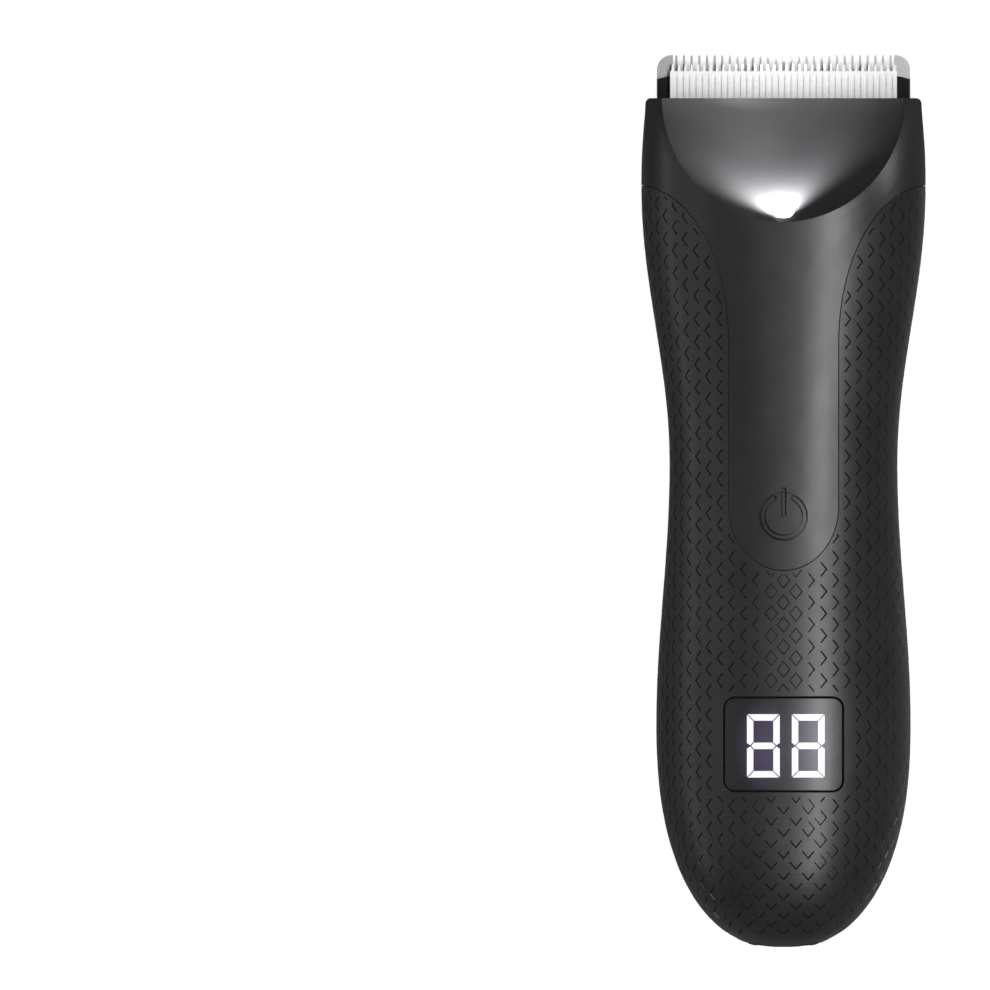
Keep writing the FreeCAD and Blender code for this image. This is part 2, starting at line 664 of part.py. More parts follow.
def ceramic_cutter():
    plan = [(-CUTTER_HALF, CUTTER_REAR), (CUTTER_HALF, CUTTER_REAR), (CUTTER_HALF, CUTTER_ROOT)]
    for tooth in range(CUTTER_TEETH, -1, -1):
        x = (tooth - CUTTER_TEETH / 2) * CUTTER_PITCH
        plan.append((x + CUTTER_PITCH * 0.22, CUTTER_ROOT))
        plan.append((x + 0.1, CUTTER_TIP))
        plan.append((x - 0.1, CUTTER_TIP))
        plan.append((x - CUTTER_PITCH * 0.22, CUTTER_ROOT))
    plan.append((-CUTTER_HALF, CUTTER_ROOT))
    plate = prism(plan, CUTTER_Z, CUTTER_TOP)
    plate = plate.cut(box(-25, 25, 140, 151.5, CUTTER_Z - 1, CUTTER_RELIEF))
    bevel = [V(-25, 151.0, CUTTER_TOP), V(-25, 151.0, 8), V(-25, 154, 8), V(-25, 154, 6.6)]
    plate = plate.cut(Part.Face(Part.makePolygon(bevel + bevel[:1])).extrude(V(50, 0, 0)))
    grooves = []
    for tooth in range(CUTTER_TEETH):
        x = (tooth + 0.5 - CUTTER_TEETH / 2) * CUTTER_PITCH
        grooves.append(box(x - 0.26, x + 0.26, 146.4, 155, CUTTER_TOP - 0.22, 9))
    return plate.cut(grooves)


def cutter_slider():
    """The plastic bridge on the cutter, with the fork that straddles the eccentric's pin."""
    half = FORK_GAP + 1.3
    plate = box(-11.5, 11.5, 144.7, 147.3, CUTTER_TOP, 8.5)
    arm = box(-half, half, 133.4, 144.7, 6.65, 8.5)
    foot = box(-half, half, 129.6, 133.4, 6.65, 9.6)
    prongs = both_sides(box(FORK_GAP, half, 129.6, 133.4, 9.4, 19.0))
    return fused([plate, arm, foot] + prongs)


def tension_spring():
    """A leaf held under the base's two bosses, whose middle bears on the slider."""
    leaf = box(-17.5, 17.5, 142.4, 144.4, 9.2, 9.4)
    finger = box(-2.0, 2.0, 144.4, 146.4, 9.2, 9.4)
    tip = box(-2.0, 2.0, 146.2, 146.4, 8.65, 9.2)
    return fused([leaf, finger, tip])


# ---- charging inlet
def charging_socket():
    block = rounded_end(SOCKET, -1, SOCKET_BACK).common(OUTER)
    flange = rounded_end((15.0, 12.0, 3.0), SOCKET_BACK - 1.5, SOCKET_BACK)
    body = block.fuse(flange).cut(rounded_end(SOCKET_HOLE, -2, SOCKET_DEPTH))
    for x in (-CHARGE_PIN_X, CHARGE_PIN_X):
        body = body.cut(rod(CHARGE_TAIL_R, 0, SOCKET_BACK + 1, x, MIDDLE_Z))
    return body.removeSplitter()


def charging_pins():
    pins = []
    for x in (-CHARGE_PIN_X, CHARGE_PIN_X):
        low = SOCKET_DEPTH - CHARGE_PIN_LENGTH
        pin = rod(CHARGE_PIN_R, low, SOCKET_DEPTH, x, MIDDLE_Z)
        pins.append(pin.fuse(rod(CHARGE_TAIL_R, SOCKET_DEPTH, SOCKET_BACK + 1.6, x, MIDDLE_Z)))
    return group(pins)


def socket_seal():
    ring = rounded_end(SOCKET, 6.8, 8.2, 0.8)
    return ring.cut(rounded_end(SOCKET, 6, 9, 0.0))


NODES = {
    "front_panel": front_panel,
    "front_shell": front_shell,
    "rear_shell": rear_shell,
    "front_grip": front_grip,
    "rear_grip": rear_grip,
    "housing_seal": housing_seal,
    "housing_screws": housing_screws,
    "power_button": power_button,
    "button_seal": button_seal,
    "tact_switch": tact_switch,
    "switch_plunger": switch_plunger,
    "display_window": display_window,
    "display_module": display_module,
    "display_digits": display_digits,
    "lamp_lens": lamp_lens,
    "lamp_board": lamp_board,
    "lamp_diode": lamp_diode,
    "chassis": chassis,
    "main_board": main_board,
    "board_parts": board_parts,
    "battery_cell": battery_cell,
    "cell_tabs": cell_tabs,
    "motor_can": motor_can,
    "motor_end_bell": motor_end_bell,
    "motor_terminals": motor_terminals,
    "motor_magnets": motor_magnets,
    "motor_armature": motor_armature,
    "motor_shaft": motor_shaft,
    "motor_screws": motor_screws,
    "shaft_seal": shaft_seal,
    "eccentric": eccentric,
    "fixed_blade": fixed_blade,
    "blade_screws": blade_screws,
    "blade_base": blade_base,
    "ceramic_cutter": ceramic_cutter,
    "cutter_slider": cutter_slider,
    "tension_spring": tension_spring,
    "charging_socket": charging_socket,
    "charging_pins": charging_pins,
    "socket_seal": socket_seal,
}

for name, make in NODES.items():
    shape = make()
    solids = shape.Solids
    volume = sum(solid.Volume for solid in solids)
    print(name, len(solids), round(volume, 1), shape.isValid())
    export(name, shape)
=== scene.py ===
from collections import namedtuple
import json
import math

import bmesh
import bpy
import numpy as np
from mathutils import Matrix, Vector
from mathutils.geometry import delaunay_2d_cdt


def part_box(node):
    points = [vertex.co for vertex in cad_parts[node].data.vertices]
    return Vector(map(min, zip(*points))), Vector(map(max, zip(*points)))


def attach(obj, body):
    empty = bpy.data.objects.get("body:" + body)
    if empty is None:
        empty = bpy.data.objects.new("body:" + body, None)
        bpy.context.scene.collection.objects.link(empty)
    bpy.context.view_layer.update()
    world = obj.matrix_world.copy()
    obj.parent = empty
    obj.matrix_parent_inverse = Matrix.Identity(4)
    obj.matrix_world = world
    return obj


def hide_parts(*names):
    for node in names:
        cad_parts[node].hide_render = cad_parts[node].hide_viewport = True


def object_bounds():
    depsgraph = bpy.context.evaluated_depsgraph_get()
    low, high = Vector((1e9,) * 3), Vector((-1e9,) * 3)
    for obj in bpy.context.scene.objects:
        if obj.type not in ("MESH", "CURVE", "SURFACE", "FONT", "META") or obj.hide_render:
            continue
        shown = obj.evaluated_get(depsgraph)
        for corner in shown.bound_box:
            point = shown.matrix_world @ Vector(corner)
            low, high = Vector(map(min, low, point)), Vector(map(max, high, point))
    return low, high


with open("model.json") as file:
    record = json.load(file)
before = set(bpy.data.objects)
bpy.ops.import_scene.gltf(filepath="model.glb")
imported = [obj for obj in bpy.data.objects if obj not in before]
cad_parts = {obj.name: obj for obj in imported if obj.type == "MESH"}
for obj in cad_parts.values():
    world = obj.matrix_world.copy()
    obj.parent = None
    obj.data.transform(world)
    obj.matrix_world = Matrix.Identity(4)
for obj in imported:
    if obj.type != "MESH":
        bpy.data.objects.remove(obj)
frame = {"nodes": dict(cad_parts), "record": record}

CAD_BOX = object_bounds()
MM = 0.001

# ---- the housing's outer form, in millimetres, with y measured from the bottom end
BOTTOM_Y = CAD_BOX[0].y / MM
FULLNESS = 2.3
WIDEST = 0.47
BULGE_Y = 38.6
END_LENGTH = 38.9
# each station: y, half width, height of the front line, height of the back line
STATIONS = np.array([
    (BULGE_Y, 22.1, 37.5, -0.6),
    (84.0, 19.8, 29.5, 2.0),
    (132.0, 24.7, 30.5, -0.6),
    (163.0, 23.3, 5.5, 17.6),
])
MIDDLE_Z = STATIONS[0, 3] + WIDEST * (STATIONS[0, 2] - STATIONS[0, 3])
PARTING_Z = 15.0
GRIP = 1.2

# ---- outlines of the soft grips
GRIP_SEAM = 0.08
TONGUE_HALF = 9.5
TONGUE_END = 11.0
TONGUE_Y = {"front": 76.5, "rear": 29.0}
FLARE_X = 25.5
FLARE_Y = 105.0
FLARE_HEIGHT = 27.4
HEAD_SIDE = 24.6
WINDOW_Y = 35.2
# each opening: width, height and corner radius
WINDOW = (21.0, 16.6, 2.0)
INLET = (12.5, 9.3, 2.45)
EDGE_ROUND = 0.10
ROUND_DROP = EDGE_ROUND * 0.8
ARC_POINTS = 25

# ---- the grips' pattern of diamonds, whose outward sides are cut in as short strokes
COLUMN_PITCH = 2.15
ROW_PITCH = 3.98
ROW_START = 63.7
COLUMNS = 16
HALF_ACROSS = 1.08
HALF_ALONG = 1.36
STROKE_WIDTH = 0.28
STROKE_DEPTH = 0.44
SHORTEST_STROKE = 0.45
RUN_IN = 0.2
# a stroke's weight on level ground, the lean below which it is left out, and the slope that cuts it fully
FLAT_WEIGHT = 0.34
DROPPED_BELOW = -0.3
FULL_SLOPE = 0.16
LEAST_FACING = 0.05
# how far the pattern keeps clear of the parting line, the tongue, the window and the bottom end
PARTING_MARGIN = 1.0
TONGUE_MARGIN = 0.5
WINDOW_MARGIN = 0.75
INLET_CLEAR_Y = 1.7
# points that carry the curve where there is no pattern
SUPPORT_PITCH = 1.5
SUPPORT_CLEARANCE = 0.5
RIGHT_CORNER = np.array((HALF_ACROSS, 0.0))
TOP_CORNER = np.array((0.0, HALF_ALONG))
CORNERS = [RIGHT_CORNER, TOP_CORNER, -RIGHT_CORNER, -TOP_CORNER]
# half the width of a full stroke at a mitred corner, as a share of the corner's distance from the middle
MITRE = STROKE_WIDTH / 2 * math.hypot(HALF_ACROSS, HALF_ALONG) / (HALF_ACROSS * HALF_ALONG)

# ---- the display's painted glow, standing in for stray light, and the lit lens, with their reach along x, y and z in millimetres
# each digit's painted glow stands this share of the digits' whole width from the middle
PAINTED_GLOW_SHIFT = 0.29
PAINTED_GLOW_REACH = (5.0, 8.5, 1000.0)
LENS_REACH = (2.4, 2.2, 3.0)

# ---- the head's lamp and the view, in metres
LAMP_PAST_LENS = (0.0008, 0.0012)
LAMP_RADIUS = 0.0008
LAMP_WATTS = 0.55
LAMP_SPREAD = math.radians(140)
LAMP_BACKWARD = (0.22, -1, 0.75)
VIEW_SIZE = 0.17203
VIEW_PLACE = (-0.05013, 0.00104, 0.5)
FLOOR_REACH = 3.0


# ---- the outer form as formulas
def eased(y, column):
    """One column of the stations at y, on half a cosine wave from each station to the next."""
    ys = STATIONS[:, 0]
    low = np.clip(np.searchsorted(ys, y, side="right") - 1, 0, len(ys) - 2)
    share = (1 - np.cos(np.pi * (y - ys[low]) / (ys[low + 1] - ys[low]))) / 2
    return STATIONS[low, column] + (STATIONS[low + 1, column] - STATIONS[low, column]) * share


def profile(y, inset):
    """Half width, height above the widest line, depth below it and that line's own height."""
    upper = np.maximum(y, BULGE_Y)
    front, back = eased(upper, 2), eased(upper, 3)
    middle = back + WIDEST * (front - back)
    along = np.clip((BULGE_Y - y) / (END_LENGTH - inset), 0, 1)
    swell = (1 - along**FULLNESS) ** (1 / FULLNESS)
    half = (eased(upper, 1) - inset) * swell
    return half, (front - inset - middle) * swell, (middle - back - inset) * swell, middle


def outer_point(angle, y, side, inset=0.0):
    """A point of the form at an angle from straight up on the front, or from straight down on the rear."""
    half, rise, fall, middle = profile(y, inset)
    facing, away = (rise, fall) if side == "front" else (fall, rise)
    upright = np.where(np.cos(angle) > 0, facing, away)
    total = (np.abs(np.sin(angle)) / half) ** FULLNESS + (np.abs(np.cos(angle)) / upright) ** FULLNESS
    radius = total ** (-1 / FULLNESS)
    outward = 1 if side == "front" else -1
    z = middle + outward * radius * np.cos(angle)
    return np.stack([radius * np.sin(angle), y + 0 * z, np.maximum(z, inset)], axis=-1)


def outer_normal(angle, y, side):
    step = 1e-3
    across = outer_point(angle + step, y, side) - outer_point(angle - step, y, side)
    along = outer_point(angle, y + step, side) - outer_point(angle, y - step, side)
    normal = np.cross(across, along)
    if side == "rear":
        normal = -normal
    return normal / np.linalg.norm(normal, axis=-1, keepdims=True)


def height_at(x, y, side, inset):
    """Height of the front or rear face over one place in plan."""
    half, rise, fall, middle = profile(y, inset)
    share = (1 - np.minimum(np.abs(x) / half, 1) ** FULLNESS) ** (1 / FULLNESS)
    return middle + rise * share if side == "front" else np.maximum(middle - fall * share, inset)


def width_at(z, y, inset):
    """Half width of the section at one height."""
    half, rise, fall, middle = profile(y, inset)
    reach = np.where(z > middle, rise, fall)
    return half * (1 - np.minimum(np.abs(z - middle) / reach, 1) ** FULLNESS) ** (1 / FULLNESS)


def end_at(x, z, inset):
    """How far up from the bottom end the rounded end lies at one place in its outline."""
    _, rise, fall, _ = profile(BULGE_Y, inset)
    reach = np.where(z > MIDDLE_Z, rise, fall)
    half = STATIONS[0, 1] - inset
    along = 1 - (np.abs(x) / half) ** FULLNESS - (np.abs(z - MIDDLE_Z) / reach) ** FULLNESS
    return BULGE_Y - (END_LENGTH - inset) * along ** (1 / FULLNESS)


# ---- the flat chart that the grip is laid out on: distance round from the middle line, and along it
CHART_YS = np.linspace(0.0, 134.0, 1200)
CHART_ANGLES = np.linspace(0.0, 2.1, 160)


def chart_tables(side):
    """Distance along the middle line at each of CHART_YS, and round the section to each angle there."""
    rings = outer_point(CHART_ANGLES[None, :], CHART_YS[:, None], side)
    along = np.linalg.norm(np.diff(rings[:, 0], axis=0), axis=1)
    around = np.linalg.norm(np.diff(rings, axis=1), axis=2)
    lengths = np.concatenate([[0.0], np.cumsum(along)])
    girths = np.concatenate([np.zeros((len(CHART_YS), 1)), np.cumsum(around, axis=1)], axis=1)
    return lengths, girths


CHARTS = {side: chart_tables(side) for side in ("front", "rear")}


def girth_rows(y, side):
    """The row of distances round the section for each y."""
    step = CHART_YS[1] - CHART_YS[0]
    return CHARTS[side][1][np.clip(np.rint(y / step).astype(int), 0, len(CHART_YS) - 1)]


def to_chart(points, side):
    middle = profile(points[:, 1], 0.0)[3]
    outward = 1 if side == "front" else -1
    angles = np.arctan2(np.abs(points[:, 0]), outward * (points[:, 2] - middle))
    rows = girth_rows(points[:, 1], side)
    around = [np.interp(angle, CHART_ANGLES, row) for angle, row in zip(angles, rows)]
    along = np.interp(points[:, 1], CHART_YS, CHARTS[side][0])
    return np.stack([np.sign(points[:, 0]) * np.array(around), along], axis=1)


def from_chart(chart, side):
    """Angle and y of points given on the chart."""
    ys = np.interp(chart[:, 1], CHARTS[side][0], CHART_YS)
    angles = [np.interp(abs(s), row, CHART_ANGLES) for s, row in zip(chart[:, 0], girth_rows(ys, side))]
    return np.sign(chart[:, 0]) * np.array(angles), ys


# ---- the grip's own edges
def tongue_outline(side, grow, inset):
    """From the right side of the head, round the tongue's end and up to the left side."""
    tongue_y = TONGUE_Y[side]
    half, end = TONGUE_HALF + grow, TONGUE_END + grow
    flare_wide, flare_tall = FLARE_X - half, FLARE_HEIGHT - grow
    turns = np.linspace(0, math.pi / 2, ARC_POINTS)
    # the flare stops where it reaches the housing's side
    last = math.acos((FLARE_X - HEAD_SIDE) / flare_wide)
    flare_turns = np.linspace(last, 0, ARC_POINTS)
    flare_xs = FLARE_X - flare_wide * np.cos(flare_turns)
    flare_ys = FLARE_Y + flare_tall * np.sin(flare_turns)
    flare = np.stack([flare_xs, flare_ys], 1)
    straight_ys = np.linspace(FLARE_Y, tongue_y, int((FLARE_Y - tongue_y) / 2.4) + 2)[1:-1]
    straight = np.stack([np.full_like(straight_ys, half), straight_ys], 1)
    end_arc = np.stack([half * np.cos(turns), tongue_y - end * np.sin(turns)], 1)
    right = np.concatenate([flare, straight, end_arc])
    left = right[-2::-1] * [-1, 1]
    plan = np.concatenate([right, left])
    return np.column_stack([plan, height_at(plan[:, 0], plan[:, 1], side, inset)])


def parting_outline(side, top_y, grow, inset):
    """Up the right side along the parting line, from the inlet to the head."""
    z = PARTING_Z + (grow if side == "front" else -grow)
    low_y = end_at(INLET[0] / 2 + grow, z, inset)
    turns = np.linspace(0, 1, 22) ** 1.6
    ys = np.concatenate([low_y + (BULGE_Y - low_y) * turns, np.linspace(BULGE_Y, top_y, 40)[1:]])
    return np.column_stack([width_at(np.full_like(ys, z), ys, inset), ys, np.full_like(ys, z)])


def inlet_outline(side, grow, inset):
    """Across the inlet's edge from the left to the right end of the parting line."""
    half = INLET[0] / 2 + grow
    reach = INLET[1] / 2 + grow
    corner = INLET[2] + grow
    outward = 1 if side == "front" else -1
    start = (PARTING_Z - MIDDLE_Z) * outward
    straight = reach - corner - start
    rise = [start + straight * share for share in (0.33, 0.67)] if straight > 0.5 else []
    turns = np.linspace(0, math.pi / 2, 7)
    arc = [(half - corner + corner * math.cos(t), reach - corner + corner * math.sin(t)) for t in turns]
    right = [(half, up) for up in rise] + [point for point in arc if point[1] > start + 0.2]
    right += [((half - corner) * share, reach) for share in (0.6, 0.2)]
    whole = np.array([(-x, up) for x, up in right] + right[::-1])
    z = MIDDLE_Z + outward * whole[:, 1]
    return np.column_stack([whole[:, 0], end_at(whole[:, 0], z, inset), z])


def window_outline(grow, inset):
    """The edge of the display's opening, anticlockwise from its right side."""
    width, height, corner = WINDOW
    centres = [(width / 2 - corner, height / 2 - corner), (corner - width / 2, height / 2 - corner)]
    centres += [(-x, -y) for x, y in centres]
    ring = []
    for quarter, centre in enumerate(centres):
        for turn in np.linspace(quarter, quarter + 1, 7) * math.pi / 2:
            ring.append(np.array(centre) + (corner + grow) * np.array([math.cos(turn), math.sin(turn)]))
    plan = []
    for start, stop in zip(ring, ring[1:] + ring[:1]):
        steps = max(1, round(float(np.linalg.norm(stop - start)) / 2.5))
        plan += [start + (stop - start) * step / steps for step in range(steps)]
    plan = np.array(plan) + [0, WINDOW_Y]
    return np.column_stack([plan, height_at(plan[:, 0], plan[:, 1], "front", inset)])


def grip_outline(side, grow, inset):
    """The grip's whole outer edge, as one closed line."""
    tongue = tongue_outline(side, GRIP_SEAM + grow, inset)
    parting = parting_outline(side, tongue[0, 1], grow, inset)
    left = parting[::-1] * [-1, 1, 1]
    return np.concatenate([inlet_outline(side, grow, inset), parting, tongue, left])


# ---- where the pattern goes, and how deep
def outside_tongue(x, y, side, margin):
    """True where a place in plan is clear of the tongue by the margin."""
    half, tongue_y = TONGUE_HALF + margin, TONGUE_Y[side]
    below = (x / half) ** 2 + ((y - tongue_y) / (TONGUE_END + margin)) ** 2 > 1
    share = np.clip((y - FLARE_Y) / (FLARE_HEIGHT - margin), 0, 1)
    flare = FLARE_X - (FLARE_X - half) * np.sqrt(1 - share**2)
    return np.where(y < tongue_y, below, (np.abs(x) > flare) & (share < 1))


def room_for_stroke(chart, side):
    """True where the pattern may be cut: clear of the tongue, the window, the parting line and the inlet."""
    angle, y = from_chart(chart, side)
    point = outer_point(angle, y, side)
    x, z = point[:, 0], point[:, 2]
    room = outside_tongue(x, y, side, TONGUE_MARGIN)
    room &= (z - PARTING_Z) * (1 if side == "front" else -1) > PARTING_MARGIN
    room &= y > INLET_CLEAR_Y
    if side == "front":
        width, height, _ = WINDOW
        beside = np.abs(x) > width / 2 + WINDOW_MARGIN
        room &= beside | (np.abs(y - WINDOW_Y) > height / 2 + WINDOW_MARGIN)
    return room


def stroke_weight(place, edge_normal, side):
    """How deep a diamond's side is cut: fully where it faces down the form's slope, and not at all uphill."""
    angle, y = from_chart(place[None, :], side)
    normal = outer_normal(angle, y, side)[0]
    facing = max(abs(normal[2]), LEAST_FACING)
    slope = np.array([normal[0], min(normal[1], 0.0)]) / facing
    lean = float(slope @ edge_normal) / FULL_SLOPE
    return min(FLAT_WEIGHT + (1 - FLAT_WEIGHT) * lean, 1.0) if lean > DROPPED_BELOW else 0.0


def breadth(weight):
    """Fainter strokes are narrower too, as a share of the full width."""
    return 0.5 + 0.5 * weight


def lattice(side):
    """Centres of the diamonds on the chart, every second column half a row higher."""
    lengths = CHARTS[side][0]
    first = np.interp(ROW_START, CHART_YS, lengths) % ROW_PITCH
    centres = []
    for column in range(-COLUMNS, COLUMNS + 1):
        shift = ROW_PITCH / 2 * (column % 2)
        for row in range(-1, int(lengths[-1] / ROW_PITCH) + 1):
            centres.append(np.array([column * COLUMN_PITCH, first + shift + row * ROW_PITCH]))
    return centres


def longest_run(inside):
    """First and last place of the longest unbroken run of True."""
    changes = np.flatnonzero(np.diff(np.concatenate([[0], inside.astype(int), [0]])))
    starts, stops = changes[::2], changes[1::2] - 1
    best = int(np.argmax(stops - starts))
    return int(starts[best]), int(stops[best])


def diamond_strokes(centre, side):
    """A diamond's cut sides: corner numbers, the share of the side that is kept, and the weight."""
    shares = np.linspace(0, 1, 13)
    found = {}
    for number in range(4):
        start, stop = CORNERS[number], CORNERS[(number + 1) % 4]
        inside = room_for_stroke(centre + start + np.outer(shares, stop - start), side)
        if not inside.any():
            continue
        first, last = longest_run(inside)
        length = (shares[last] - shares[first]) * np.linalg.norm(stop - start)
        if length < SHORTEST_STROKE:
            continue
        outward = np.array([stop[1] - start[1], start[0] - stop[0]]) / np.linalg.norm(stop - start)
        weight = stroke_weight(centre + (start + stop) / 2, outward, side)
        if weight > 0:
            found[number] = (shares[first], shares[last], weight)
    return found


# ---- the grip's mesh
# one end of a stroke: a point on each rim, a tip unless it turns a corner there, its place and its depth
End = namedtuple("End", "outer inner tip place depth")


class Grip:
    """Collects one grip's points, edges and strokes on the chart."""

    def __init__(self, side):
        self.side = side
        self.chart = []
        self.loops = []
        self.cuts = []

    def add(self, place):
        self.chart.append((float(place[0]), float(place[1])))
        return len(self.chart) - 1

    def add_loop(self, points):
        numbers = [self.add(place) for place in to_chart(points, self.side)]
        self.loops.append(numbers)
        return numbers

    def add_diamond(self, centre):
        """Outline corners of each stroke, and what its bottom needs to be built later."""
        found = diamond_strokes(centre, self.side)
        mitres = {}
        for corner in range(4):
            before, after = found.get((corner - 1) % 4), found.get(corner)
            if before and after and before[1] == 1 and after[0] == 0:
                depth = min(before[2], after[2])
                mitre = MITRE * breadth(depth)
                outer = self.add(centre + CORNERS[corner] * (1 + mitre))
                inner = self.add(centre + CORNERS[corner] * (1 - mitre))
                mitres[corner] = End(outer, inner, None, centre + CORNERS[corner], depth)
        for number, (first, last, weight) in found.items():
            start, stop = centre + CORNERS[number], centre + CORNERS[(number + 1) % 4]
            along = (stop - start) / np.linalg.norm(stop - start)
            ends = []
            for share, corner, inward in ((first, number, 1), (last, (number + 1) % 4, -1)):
                end = mitres.get(corner) if share in (0, 1) else None
                ends.append(end or self.add_tip(start + (stop - start) * share, along, inward, weight))
            self.cuts.append((ends[0], ends[1], weight))

    def add_tip(self, place, along, inward, weight):
        """A pointed end, with a shoulder on each rim just behind the point."""
        shoulder = place + along * inward * RUN_IN
        outward = np.array([along[1], -along[0]]) * STROKE_WIDTH * breadth(weight) / 2
        return End(self.add(shoulder + outward), self.add(shoulder - outward), self.add(place), place, 0.0)

    def support(self):
        """Points that carry the curve where there is no pattern: along the parting line and the rims."""
        low, high = np.min(self.chart, axis=0), np.max(self.chart, axis=0)
        across = np.arange(low[0] + SUPPORT_PITCH / 2, high[0], SUPPORT_PITCH)
        upward = np.arange(low[1] + SUPPORT_PITCH / 2, high[1], SUPPORT_PITCH)
        grid = np.array([(s, t) for t in upward for s in across])
        grid = grid[~room_for_stroke(grid, self.side)]
        edges = np.array([self.chart[n] for loop in self.loops for n in loop])
        for place in grid:
            if np.abs(edges - place).max(axis=1).min() > SUPPORT_CLEARANCE:
                self.add(place)

    def triangles(self):
        """The chart cut into triangles, without the ground outside the grip and inside the strokes."""
        faces = list(self.loops)
        for first, last, _ in self.cuts:
            ring = (first.outer, last.outer, last.tip, last.inner, first.inner, first.tip)
            faces.append([corner for corner in ring if corner is not None])
        points = [Vector(place) for place in self.chart]
        places, _, found, origin, _, owners = delaunay_2d_cdt(points, [], faces, 0, 1e-6)
        number = {old: new for new, olds in enumerate(origin) for old in olds}
        kept = [face for face, owner in zip(found, owners) if list(owner) == [0]]
        return np.array([tuple(place) for place in places]), kept, number


def lay_out(side):
    """The grip's chart with its edges, its strokes and its support points."""
    grip = Grip(side)
    grip.add_loop(grip_outline(side, EDGE_ROUND, 0.0))
    if side == "front":
        grip.add_loop(window_outline(EDGE_ROUND, 0.0))
    for centre in lattice(side):
        grip.add_diamond(centre)
    grip.support()
    return grip


def groove_faces(grip, base, number, points, normals):
    """Adds each stroke's bottom line to points and returns its walls."""
    walls = []
    for first, last, weight in grip.cuts:
        along = last.place - first.place
        along = along / np.linalg.norm(along)
        places = [first.place, first.place + along * RUN_IN, last.place - along * RUN_IN, last.place]
        depths = [first.depth, weight, weight, last.depth]
        angle, y = from_chart(np.array(places), grip.side)
        surface = outer_point(angle, y, grip.side)
        facing = outer_normal(angle, y, grip.side)
        row = []
        for place, outward, depth, tip in zip(surface, facing, depths, (first.tip, None, None, last.tip)):
            if tip is not None:
                row.append(number[tip])
                continue
            key = tuple(np.round(place, 5)) + (round(depth, 4),)
            if key not in base:
                base[key] = len(points)
                points.append(place - outward * STROKE_DEPTH * depth)
                normals.append(outward)
            row.append(base[key])
        rims = (number[first.outer], number[last.outer]), (number[first.inner], number[last.inner])
        for near, far in rims:
            walls += [(near, far, row[2], row[1]), (near, row[1], row[0]), (far, row[3], row[2])]
    return walls


def faced(face, points, outward):
    """The face's corners in the order that makes it face outward."""
    a, b, c = (np.array(points[n]) for n in face[:3])
    return face if np.cross(b - a, c - a) @ outward > 0 else tuple(reversed(face))


def grip_mesh(side):
    grip = lay_out(side)
    places, kept, number = grip.triangles()
    angle, y = from_chart(places, side)
    points = list(outer_point(angle, y, side))
    normals = list(outer_normal(angle, y, side))
    top = [tuple(face) for face in kept]
    walls = groove_faces(grip, {}, number, points, normals)
    faces = [faced(face, points, normals[face[0]]) for face in top + walls]
    smooth = [True] * len(top) + [False] * len(walls)

    # the edges: a small round and the grip's thickness
    under_loops = []
    for index, loop in enumerate(grip.loops):
        rails = [[number[n] for n in loop]]
        for inset in (ROUND_DROP, GRIP):
            if index == 0:
                line = grip_outline(side, 0.0, inset)
            else:
                line = window_outline(0.0, inset)
            rails.append(list(range(len(points), len(points) + len(line))))
            points += list(line)
            normals += [normals[n] for n in rails[0]]
        for upper, lower in zip(rails, rails[1:]):
            for step in range(len(upper)):
                after = (step + 1) % len(upper)
                faces.append((upper[step], lower[step], lower[after], upper[after]))
                smooth.append(False)
        under_loops.append(rails[-1])

    # the hidden inner face is coarse: where the form curves, its wide triangles lie too deep
    inner = Grip(side)
    for loop in grip.loops:
        inner.loops.append([inner.add(grip.chart[n]) for n in loop])
    inner.support()
    inner_places, inner_kept, inner_number = inner.triangles()
    angle, y = from_chart(inner_places, side)
    offset = len(points)
    points += list(outer_point(angle, y, side, GRIP))
    normals += [-n for n in outer_normal(angle, y, side)]
    rename = {inner_number[old]: new for a, b in zip(inner.loops, under_loops) for old, new in zip(a, b)}
    for face in inner_kept:
        corners = tuple(rename.get(n, n + offset) for n in face)
        faces.append(faced(corners, points, normals[offset + face[0]]))
        smooth.append(False)
    return points, faces, normals, smooth


def build_grip(side):
    points, faces, normals, smooth = grip_mesh(side)
    mesh = bpy.data.meshes.new(side + "_soft_grip")
    coordinates = [(p[0] * MM, (p[1] + BOTTOM_Y) * MM, p[2] * MM) for p in points]
    mesh.from_pydata(coordinates, [], faces)
    facing_out = bmesh.new()
    facing_out.from_mesh(mesh)
    bmesh.ops.recalc_face_normals(facing_out, faces=facing_out.faces)
    facing_out.to_mesh(mesh)
    facing_out.free()
    corner_normals = []
    for polygon in mesh.polygons:
        for vertex in polygon.vertices:
            own = normals[vertex] if smooth[polygon.index] else polygon.normal
            corner_normals.append(tuple(own))
    mesh.polygons.foreach_set("use_smooth", smooth)
    # outward corner normals turned the rear grip black, so it keeps plain smooth shading
    if side == "front":
        mesh.normals_split_custom_set(corner_normals)
    piece = bpy.data.objects.new(side + "_soft_grip", mesh)
    bpy.context.scene.collection.objects.link(piece)
    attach(piece, "housing")
    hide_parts(side + "_grip")
    return piece


